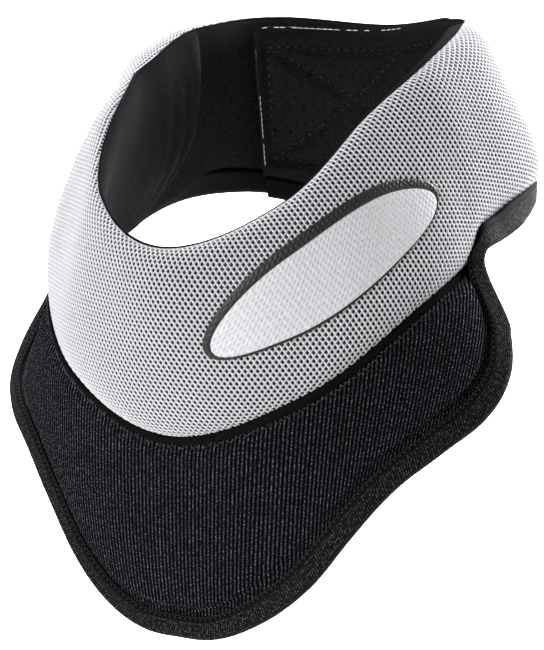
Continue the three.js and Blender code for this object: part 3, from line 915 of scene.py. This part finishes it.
def face_row(turn, share):
    """The w of a share of the way down the mesh cloth."""
    i = (turn - TURNS[0]) / (TURNS[1] - TURNS[0])
    j = np.clip(share, 0, 1) * (len(SHARES) - 1)
    i0 = np.clip(i.astype(int), 0, len(TURNS) - 2)
    j0 = np.clip(j.astype(int), 0, len(SHARES) - 2)
    a, b = i - i0, j - j0
    near = ROWS[i0, j0] * (1 - b) + ROWS[i0, j0 + 1] * b
    far = ROWS[i0 + 1, j0] * (1 - b) + ROWS[i0 + 1, j0 + 1] * b
    return near * (1 - a) + far * a


def net_cells():
    """Columns and rows of the net's cells that lie on the collar, with their turns."""
    half = NET_ALONG / 2
    turn, drop = grid(TURNS, (-NET_REACH, NET_REACH))
    x, y = FLAT_COLLAR.to_flat(turn, drop)
    column = np.arange(int(x.min() / half), int(x.max() / half))
    row = np.arange(int(y.min() / NET_DOWN), int(y.max() / NET_DOWN))
    column, row = grid(column, row)
    keep = (column + row) % 2 == 0
    column, row = column[keep], row[keep]
    turn, drop = FLAT_COLLAR.from_flat(column * half, row * NET_DOWN)
    deep = np.interp(turn, TURNS, FACE_DEEP) - corner_cut(turn)
    keep = (np.abs(drop) < deep / 2 + NET_OVER_EDGE)
    keep &= (turn > FIRST_TURN + NET_FROM_END) & (turn < LAST_TURN - NET_FROM_END)
    return column[keep], row[keep], turn[keep]


def add_net(name, column, row):
    """Six-sided cells with an open hole in each; cells share the points of the strands' crest."""
    half = NET_ALONG / 2
    # Corners of a cell: column and row of the cell they stand over or under, and which of the two
    corners = ((0, 0, 0), (1, 1, 1), (1, -1, 0), (0, 0, 1), (-1, -1, 0), (-1, 1, 1))
    wide, base = 100000, 5000
    keys = [((row + dr + base) * 2 + kind) * wide + column + dc + base for dc, dr, kind in corners]
    keys = np.stack(keys, -1)
    lattice, at = np.unique(keys, return_inverse=True)
    at = at.reshape(keys.shape)
    under = (lattice // wide) % 2
    crest_x = (lattice % wide - base) * half
    crest_y = ((lattice // wide) // 2 - base) * NET_DOWN + np.where(under, -NET_POINT, NET_POINT)
    hole = np.array(NET_HOLE)
    hole_x = column[:, None] * half + hole[None, :, 0]
    hole_y = row[:, None] * NET_DOWN - hole[None, :, 1]
    ring_x = hole_x + NET_RING * (crest_x[at] - hole_x)
    ring_y = hole_y + NET_RING * (crest_y[at] - hole_y)
    x = np.concatenate([crest_x, ring_x.ravel(), hole_x.ravel()])
    y = np.concatenate([crest_y, ring_y.ravel(), hole_y.ravel()])
    high = np.repeat([NET_HIGH, NET_HIGH * NET_RING_HIGH, NET_HOLE_HIGH],
                     [len(crest_x), ring_x.size, hole_x.size])
    turn, drop = FLAT_COLLAR.from_flat(x, y)
    turn = np.clip(turn, FIRST_TURN + 0.2, LAST_TURN - 0.2)
    share = 0.5 + drop / np.interp(turn, TURNS, FACE_DEEP)
    points = lifted(mesh_face, turn, face_row(turn, share), high)
    ring_at = len(crest_x) + np.arange(ring_x.size).reshape(ring_x.shape)
    hole_at = ring_at + ring_x.size
    faces = []
    for k in range(6):
        m = (k + 1) % 6
        faces.append(np.stack([at[:, k], at[:, m], ring_at[:, m], ring_at[:, k]], -1))
        faces.append(np.stack([ring_at[:, k], ring_at[:, m], hole_at[:, m], hole_at[:, k]], -1))
    faces = np.concatenate(faces)[:, ::-1]
    add_mesh(name, points, faces, np.stack([x, y], -1), "mesh", NET)


# Lining with its rolled edge
def lining_turns():
    plain = collar_turns(2)
    ends = np.concatenate([np.arange(92, 124, 0.5), -np.arange(92, 124, 0.5)])
    flap = np.arange(153, LAST_TURN - 6.5, 0.7)
    return np.unique(np.round(np.concatenate([plain, ends, flap]), 3))


def add_lining():
    mean_arc = 1.25
    turns = lining_turns()
    turn, down = grid(turns, np.linspace(0, 1, 57))
    back = lifted(lining_face, turn, down, -LINING_SHEET, inward=True)
    loops = np.concatenate([lining_face(turn, down), back[:, ::-1]], 1)
    far = there_and_back(down) * ring(turns)["deep"][:, None]
    uv = np.stack([there_and_back(turn) * mean_arc, far], -1)
    piece = add_loft("lining_cloth", loops, uv, "lining", LINING_CLOTH)
    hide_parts("collar_lining")
    rim = turns[1:-1]
    lift = np.interp(rim, *np.array(RIM_LIFT).T)
    edge = np.concatenate([
        wall(np.full(20, FIRST_TURN), np.linspace(1, 0, 20), RIM_OUT),
        wall(rim, -lift / 60, -0.4 * lift),
        wall(np.full(20, LAST_TURN), np.linspace(0, 1, 20), RIM_OUT),
    ])
    points, faces = tube(edge, RIM_HALF, 10)
    run, turned = grid(np.arange(len(edge)) * 1.2, np.arange(10) * 0.5)
    add_mesh("lining_edge", points, faces, np.stack([run, turned], -1), "lining", LINING_CLOTH)


FLAT_BIB = Unrolled(np.arange(-96, 96.01, 0.25), seam_line, lambda t: ways(t, bib_angle(t))[0])


def band_low(turn):
    """How far down the bib the seam band reaches: on the wearer's right the collar hides it."""
    left = smooth(BAND_RIGHT_TURN, BAND_LEFT_TURN, turn)
    return BAND_LOW_RIGHT + (BAND_LOW_LEFT - BAND_LOW_RIGHT) * left


EDGE_TURN = np.concatenate([-np.linspace(EAR_TURN, 0, 200)[:-1], np.linspace(0, EAR_TURN, 200)])
EDGE = np.stack(FLAT_BIB.to_flat(EDGE_TURN, edge_drop(EDGE_TURN)), -1)


def from_edge(x, y):
    return from_lines(x, y, EDGE[:-1], EDGE[1:])


def rib_x(across, y):
    """Flat x of a rib that leaves the seam at across and leans towards the middle below it."""
    half = FLAT_BIB.turn >= 0
    seam_y = np.interp(np.abs(across), FLAT_BIB.x[half], FLAT_BIB.y[half])
    return across + RIB_LEAN * across * (y - seam_y)


def bib_columns():
    """Columns of the bib along its ribs: for each point the flat x where its rib leaves the seam,
    flat y, turn, drop and distance from the edge."""
    wide = np.abs(EDGE[:, 0]).max() + 8
    count = int(wide / RIB_PITCH)
    x = np.arange(-count * RIB_SAMPLES, count * RIB_SAMPLES + 1) * RIB_PITCH / RIB_SAMPLES
    y = np.arange(EDGE[:, 1].min() - 1, 70, 0.5)
    gx, gy = grid(x, y)
    gx = rib_x(gx, gy)
    turn, drop = FLAT_BIB.from_flat(gx, gy)
    inside = (drop > band_low(turn) - SEAM_TUCK) & (drop < edge_drop(turn))
    inside &= np.abs(turn) < EAR_TURN + 1
    far = np.where(inside, from_edge(gx, gy), -1)
    inside &= far > TAPE_WIDE - 2
    # Points of a column lie close across the pressed groove, and evenly from there up to the seam
    groove = np.array([0, 0.5, 1, 1.6, 2.2, 2.8, 3.3, 3.7, 4.1, 4.5, 5, 5.8, 7]) + TAPE_WIDE - 1.5
    above_groove, fewest = 34, 8
    places = []
    kept = []
    for k in range(len(x)):
        hit = np.flatnonzero(inside[k])
        if len(hit) < fewest:
            continue
        hit = np.arange(hit[0], hit[-1] + 1)
        rise = np.maximum.accumulate(far[k, hit] + np.arange(len(hit)) * 1e-6)
        low_y = np.interp(np.minimum(groove, rise[-1] * 0.98), rise, y[hit])
        rest = np.linspace(low_y[-1], y[hit[-1]], above_groove)[1:]
        places.append(np.concatenate([low_y, rest]))
        kept.append(x[k])
    gy = np.array(places)
    across = np.repeat(np.array(kept)[:, None], gy.shape[1], 1)
    gx = rib_x(across, gy)
    turn, drop = FLAT_BIB.from_flat(gx, gy)
    return across, gy, turn, drop, from_edge(gx, gy)


def add_bib():
    gx, gy, turn, drop, far = bib_columns()
    past = far - TAPE_WIDE
    whole = np.maximum(edge_drop(turn) - TAPE_WIDE, 4)
    share = np.clip(drop / whole, 0, 1)
    arch = 4 * share * (1 - share)
    ear = smooth(EAR_FROM, EAR_FULL, turn)
    bow = BIB_BOW * arch * smooth(0, 20, whole) * (1 - ear) - EAR_DISH * arch * ear * smooth(0, 14, whole)
    raised = smooth(GROOVE_WIDE - 0.5, GROOVE_WIDE + 0.7, past)
    lip = LIP_HIGH * hump(past, GROOVE_WIDE + 0.5, LIP_WIDE)
    phase = gx / RIB_PITCH
    rib = np.sqrt(np.maximum(0, 1 - (2 * (phase - np.floor(phase)) - 1) ** 2))
    seam = smooth(-SEAM_TUCK, 3.3, drop - band_low(turn))
    soft = 0.35 * np.sin(gx / 13 + 1) * np.sin(gy / 17) + 0.25 * np.sin(gx / 29 + gy / 11)
    front = BIB_HALF - 0.2 - GROOVE_DEEP * (1 - raised) + lip + RIB_HIGH * rib * (0.15 + 0.85 * raised)
    front = front + (bow + soft) * seam * smooth(0, 12, past + 4) - 0.7 * (1 - seam)
    front = front - EAR_THIN * ear
    down, out = ways(turn, bib_angle(turn))
    middle = seam_line(turn) + down * drop[..., None] + sway(turn, drop)
    face = middle + out * front[..., None]
    back = middle + out * (bow * seam - BIB_HALF + 0.6)[..., None]
    loops = np.concatenate([face, back[:, ::-1]], 1)
    uv = there_and_back(np.stack([gx, gy], -1))
    piece = add_loft("bib_cloth", loops, uv, "rib_cloth", RIB_CLOTH)
    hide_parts("bib_panel")


# Tape: one run from strap end to strap end, between its inner and its outer edge
def tape_edges(corner, risen):
    """Turn and drop of the tape's outer edge on one side of the neck, and turn, drop and stand-off
    of its inner edge; risen where the collar's foot rises behind the bib."""
    turn = np.concatenate([np.linspace(0, 62, 50)[:-1], np.linspace(62, TAPE_BIB_TURN, 30)])
    outer = np.stack([turn, edge_drop(turn)], -1)
    step = 0.1
    ax, ay = FLAT_BIB.to_flat(turn - step, edge_drop(turn - step))
    bx, by = FLAT_BIB.to_flat(turn + step, edge_drop(turn + step))
    long = np.hypot(bx - ax, by - ay)
    x, y = FLAT_BIB.to_flat(turn, edge_drop(turn))
    in_x, in_y = x - TAPE_WIDE * (by - ay) / long, y + TAPE_WIDE * (bx - ax) / long
    sunk = 0 * turn if risen else -EAR_SINK * smooth(EAR_TAPE_FROM, EAR_TAPE_FULL, turn)
    inner = np.column_stack([*FLAT_BIB.from_flat(in_x, in_y), sunk])
    for edge in (outer, inner) if risen else ():
        edge[:, 1] += ease(RISE, 1, edge[:, 0]) / np.cos(bib_angle(edge[:, 0]))
    back = np.linspace(corner[-1][0] + 1.5, LAST_TURN - 0.3, 80)
    outer_back = np.stack([back, np.full(len(back), TAPE_WIDE + TAPE_BELOW)], -1)
    inner_back = np.stack([back, np.full(len(back), -TAPE_OVER), 0 * back], -1)
    rows = [np.concatenate([outer[-4], inner[-4]]), np.concatenate([outer[-1], inner[-1]]), *corner]
    rows = np.array([*rows, np.concatenate([outer_back[0], inner_back[0]])])
    per_degree = 1.4
    rows = np.column_stack([run_along(rows * (per_degree, 1, per_degree, 1, 1)), rows])
    at = np.linspace(rows[1, 0], rows[-1, 0], 70)[1:-1]
    bend = np.stack([ease(rows, k, at) for k in (1, 2, 3, 4, 5)], -1)
    outer = np.concatenate([outer, bend[:, :2], outer_back])
    return outer, np.concatenate([inner, bend[:, 2:], inner_back])


def add_tape():
    outer, inner = tape_edges(TAPE_CORNER_LEFT, True)
    right_outer, right_inner = tape_edges(TAPE_CORNER_RIGHT, False)
    flip = np.array([-1, 1, 1])
    keep = right_outer[:, 0] < -(FIRST_TURN + 0.3)
    outer = np.concatenate([(right_outer[keep] * flip[:2])[:0:-1], outer])
    inner = np.concatenate([(right_inner[keep] * flip)[:0:-1], inner])
    at_out = skirt(outer[:, 0], outer[:, 1])
    at_in = skirt(*inner.T)
    across = at_out - at_in
    middle = (at_out + at_in) / 2
    out = unit(np.cross(across, np.gradient(middle, axis=0)))
    side = 1 - smooth(TAPE_THIN_FROM, TAPE_THIN_FULL, np.abs(outer[:, 0]))
    half = TAPE_COLLAR_HALF + (TAPE_BIB_HALF - TAPE_COLLAR_HALF) * side
    # Section across the tape: flat, then rounded over its outer edge
    rounded = 1 - TAPE_ROUND * np.cos(np.linspace(0, np.pi / 2, 12))
    c = np.concatenate([np.linspace(0, TAPE_FLAT, 40)[:-1], rounded])
    over = np.maximum(0, 1 - ((c - TAPE_FLAT) / TAPE_ROUND) ** 2)
    round_it = np.where(c > TAPE_FLAT, np.sqrt(over), 1)
    start = 1 - 0.25 * (1 - smooth(0, 0.1, c))
    ridge = TAPE_RIDGE_HIGH * np.abs(np.sin(np.pi * c * TAPE_RIDGES)) * round_it
    flat = half[:, None] * (round_it * start)[None]
    flat_at = at_in[:, None] + across[:, None] * c[None, :, None]
    face = flat_at + out[:, None] * (flat + ridge[None])[..., None]
    back = flat_at - out[:, None] * flat[..., None]
    loops = np.concatenate([face, back[:, -2::-1]], 1)
    c_all = np.concatenate([c, c[-2::-1]])
    turned = np.arange(len(c_all)) > len(c)
    from_fold = c_all * TAPE_WIDE + turned * TAPE_TURNED
    uv = np.stack(grid(run_along(middle), from_fold), -1)
    piece = add_loft("edge_tape", loops, uv, "tape", WOVEN_TAPE)
    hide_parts("bib_binding", "collar_binding_left", "collar_binding_right")
    # A row of stitches near the tape's inner edge, and the fold of that edge: a thin cord a little
    # lighter than the tape, a painted highlight along the fold
    front = np.abs(inner[:, 0]) < TAPE_FRONT_TURN
    line = at_in + across * 0.07 + out * (half * 0.9)[:, None]
    rows = stitches(line[front], out[front], *TAPE_STITCH)
    add_mesh("tape_stitches", *rows, None, "tape", DARK_THREAD)
    fold = at_in + out * (half * 0.75 + 0.05)[:, None]
    add_mesh("tape_fold", *tube(fold[front], 0.24, 8), None, "tape", FOLD_HIGHLIGHT_CLOTH)


# Seam band between collar and bib
def add_band():
    turns = np.linspace(-BAND_END_TURN, BAND_END_TURN, 180)
    a = np.linspace(0, 2 * np.pi, 20, endpoint=False)
    turn, angle = grid(turns, a)
    ends = np.sqrt(np.maximum(0, 1 - (turn / BAND_END_TURN) ** 8))
    low = band_low(turn)
    drop = (low + BAND_TOP) / 2 + (low - BAND_TOP) / 2 * np.cos(angle)
    off = BAND_OUT + BAND_HALF * np.sin(angle) * (0.3 + 0.7 * ends)
    down, out = ways(turn, bib_angle(turn))
    points = seam_line(turn) + down * drop[..., None] + out * off[..., None]
    faces = outward(points, grid_faces(*points.shape[:2]))
    piece = add_mesh("seam_tape", points, faces, None, "tape", BAND_CLOTH)
    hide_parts("seam_band")


# Badge
def badge_place(x, y, high):
    """Points of the badge on the collar, from its own x and y, at a height over the mesh."""
    near, far = mesh_face(BADGE_TURN + np.array([-0.5, 0.5]), row_at(BADGE_DOWN))
    arc = np.linalg.norm(far - near)
    tilt = math.radians(BADGE_TILT)
    share = x / BADGE_LONG
    y = y * (1 - BADGE_TAPER * share)
    along = x * math.cos(tilt) - y * math.sin(tilt)
    up = x * math.sin(tilt) + y * math.cos(tilt)
    up = up - BADGE_BEND * share ** 2 + BADGE_TWIST * share ** 3
    v = np.clip(BADGE_DOWN - up / ring(BADGE_TURN)["deep"], 0, 1)
    return lifted(mesh_face, BADGE_TURN + along / arc, row_at(v), high)


def add_badge():
    a = np.linspace(0, 2 * np.pi, 140, endpoint=False)
    in_long, in_tall = BADGE_LONG - FIELD_MARGIN_LONG, BADGE_TALL - FIELD_MARGIN_TALL
    share = np.array([0, 0.02, 0.06, 0.3, 0.6, 0.94, 0.98, 1, 1])
    high = np.array([0.2, 0.75, 0.86, 0.88, 0.88, 0.86, 0.75, 0.3, 0.1])
    s, angle = grid(share, a)
    x = (BADGE_LONG * (1 - s) + in_long * s) * np.cos(angle) + FIELD_SHIFT_X * s
    y = (BADGE_TALL * (1 - s) + in_tall * s) * np.sin(angle) + FIELD_SHIFT_Y * s
    points = badge_place(x, y, high[:, None])
    faces = grid_faces(len(share), len(a))
    rim = add_mesh("badge_border", points, faces, np.stack([x, y], -1), "badge_border", RIM_PRINT)
    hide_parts("badge_rim")

    # The white field: rings of points round its middle, and a fan of faces there
    share = np.concatenate([np.linspace(0.02, 0.96, 18), [0.985, 0.995]])
    high = np.concatenate([np.full(18, FIELD_HIGH), [0.78, 0.5]])
    s, angle = grid(share, a)
    x = np.append(FIELD_SHIFT_X + in_long * s * np.cos(angle), FIELD_SHIFT_X)
    y = np.append(FIELD_SHIFT_Y + in_tall * s * np.sin(angle), FIELD_SHIFT_Y)
    points = badge_place(x, y, np.append(np.repeat(high, len(a)), FIELD_HIGH))
    k = np.arange(len(a))
    fan = np.stack([(k + 1) % len(a), k, np.full(len(a), len(points) - 1)], -1)
    faces = grid_faces(len(share), len(a)).tolist() + fan.tolist()
    field = add_mesh("badge_panel", points, faces, np.stack([x, y], -1), "badge_white", FIELD_PRINT)
    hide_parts("badge_field")


# Stitches: rows of small threads along a line of points on a cloth
def along_line(points, normals, long, gap, slant):
    """Starts, ends and normals of stitches of one length along a line, each slanted across it."""
    run = run_along(points)
    at = np.arange(0.5, run[-1] - long, long + gap)

    def between(at, rows):
        return np.stack([np.interp(at, run, rows[:, j]) for j in range(3)], -1)

    start, end = between(at, points), between(at + long, points)
    normal = unit(between(at + long / 2, normals))
    side = np.cross(end - start, normal) / long
    return start - side * slant, end + side * slant, normal


def stitches(points, normals, long, gap, slant, half):
    return stitch_rows(*along_line(points, normals, long, gap, slant), half)


def lining_line(t0, v0, t1, v1):
    """Points just over the lining along a straight line, and the way out of the lining there."""
    t = np.linspace(0, 1, 60)
    turn, w = t0 + (t1 - t0) * t, row_at(v0 + (v1 - v0) * t)
    at = lifted(lining_face, turn, w, QUILT_LIFT, inward=True)
    return at, lifted(lining_face, turn, w, QUILT_LIFT + 1, inward=True) - at


def add_stitches():
    turns = np.linspace(-BAND_END_TURN + 6, BAND_END_TURN - 6, 400)
    down, normal = ways(turns, bib_angle(turns))
    line = seam_line(turns) + down * (band_low(turns) + 0.1)[:, None] + normal * 2.2
    rows = stitches(line, normal, *SEAM_STITCH)
    add_mesh("seam_stitches", *rows, None, "tape", GREY_THREAD)

    rows = [stitches(*lining_line(*a, *b), *QUILT_STITCH) for a, b in QUILT]
    add_mesh("flap_stitches", *joined(rows), None, "lining", QUILT_THREAD)

    # Loose silver threads down the flap's end and along its top edge, with some left out
    rng = np.random.default_rng(7)
    count = 420
    wander = 0.35 * rng.normal(size=count).cumsum() * 0.08
    end = wall(np.full(count, LAST_TURN - 0.1), np.linspace(0.06, 0.93, count), -1.6 + wander)
    top_turn = np.linspace(LAST_TURN - 2.5, 170, count)
    top = lifted(lining_face, top_turn, 0.02, 0.35, inward=True)
    rows = []
    for line, kept in ((end, 0.8), (top, 0.75)):
        normal = np.gradient(line, axis=0)[:, [1, 2, 0]] + 0.3
        steps = along_line(line, normal, *FLAP_STITCH[:3])
        keep = rng.random(len(steps[0])) < kept
        rows.append(stitch_rows(*(k[keep] for k in steps), FLAP_STITCH[3]))
    add_mesh("flap_edge_thread", *joined(rows), None, "mesh", SILVER_THREAD)


add_collar_pad()
net_column, net_row, net_turn = net_cells()
net_cuts = np.quantile(net_turn, np.linspace(0, 1, len(NET_NAMES) + 1))
net_piece = np.searchsorted(net_cuts[1:-1], net_turn, side="right")
for k, name in enumerate(NET_NAMES):
    add_net(name, net_column[net_piece == k], net_row[net_piece == k])
add_lining()
add_bib()
add_tape()
add_band()
add_badge()
add_stitches()

hook = bpy.data.objects["hook_patch"]
hook.data.materials.clear()
hook.data.materials.append(HOOK_TAPE)


# Studio: pale floor, white surroundings, large soft lights
def add_floor():
    data = bpy.data.meshes.new("floor")
    wide, low = 6.0, -0.25
    corners = [(x * wide, y * wide, low) for x, y in ((-1, -1), (1, -1), (1, 1), (-1, 1))]
    data.from_pydata(corners, [], [(0, 1, 2, 3)])
    data.materials.append(Nodes("pale_floor").set(colour=(0.94, 0.94, 0.94, 1), rough=0.9))
    new_object("floor", data)


def add_light(name, place, aim, size, power, spread=180):
    """Round soft light at a place, turned to its aim; its spread in degrees."""
    data = bpy.data.lights.new(name, "AREA")
    data.shape = "DISK"
    data.size = size
    data.energy = power
    data.spread = math.radians(spread)
    back = unit(np.array(place, float) - np.array(aim, float))
    side = unit(np.cross((0, 0, 1), back))
    put_at(new_object(name, data), (side, np.cross(back, side), back), place)


def camera_point(right, up, back):
    """Point given along the camera's axes from the middle of the object, in metres."""
    axes = camera_axes()
    return axes[0] * right + axes[1] * up + axes[2] * back


add_floor()
add_light("left", camera_point(-0.66, 0.1, 0.75), (0, 0, 0.0), 0.45, 10.6)
add_light("right", camera_point(0.95, 0.65, -0.4), (0, 0, 0.02), 0.6, 56)
# The backdrop light stands behind the object and shines down on the floor there
away = -camera_axes()[2] * (1, 1, 0)
add_light("backdrop", away * 0.95 + (0, 0, 0.95), away * 0.97 - (0, 0, 0.25), 1.0, 30, 110)
world = bpy.data.worlds.new("white_studio")
world.use_nodes = True
world.node_tree.nodes["Background"].inputs["Color"].default_value = (1, 1, 1, 1)
world.node_tree.nodes["Background"].inputs["Strength"].default_value = 0.2
bpy.context.scene.world = world
bpy.context.scene.view_settings.view_transform = "Standard"
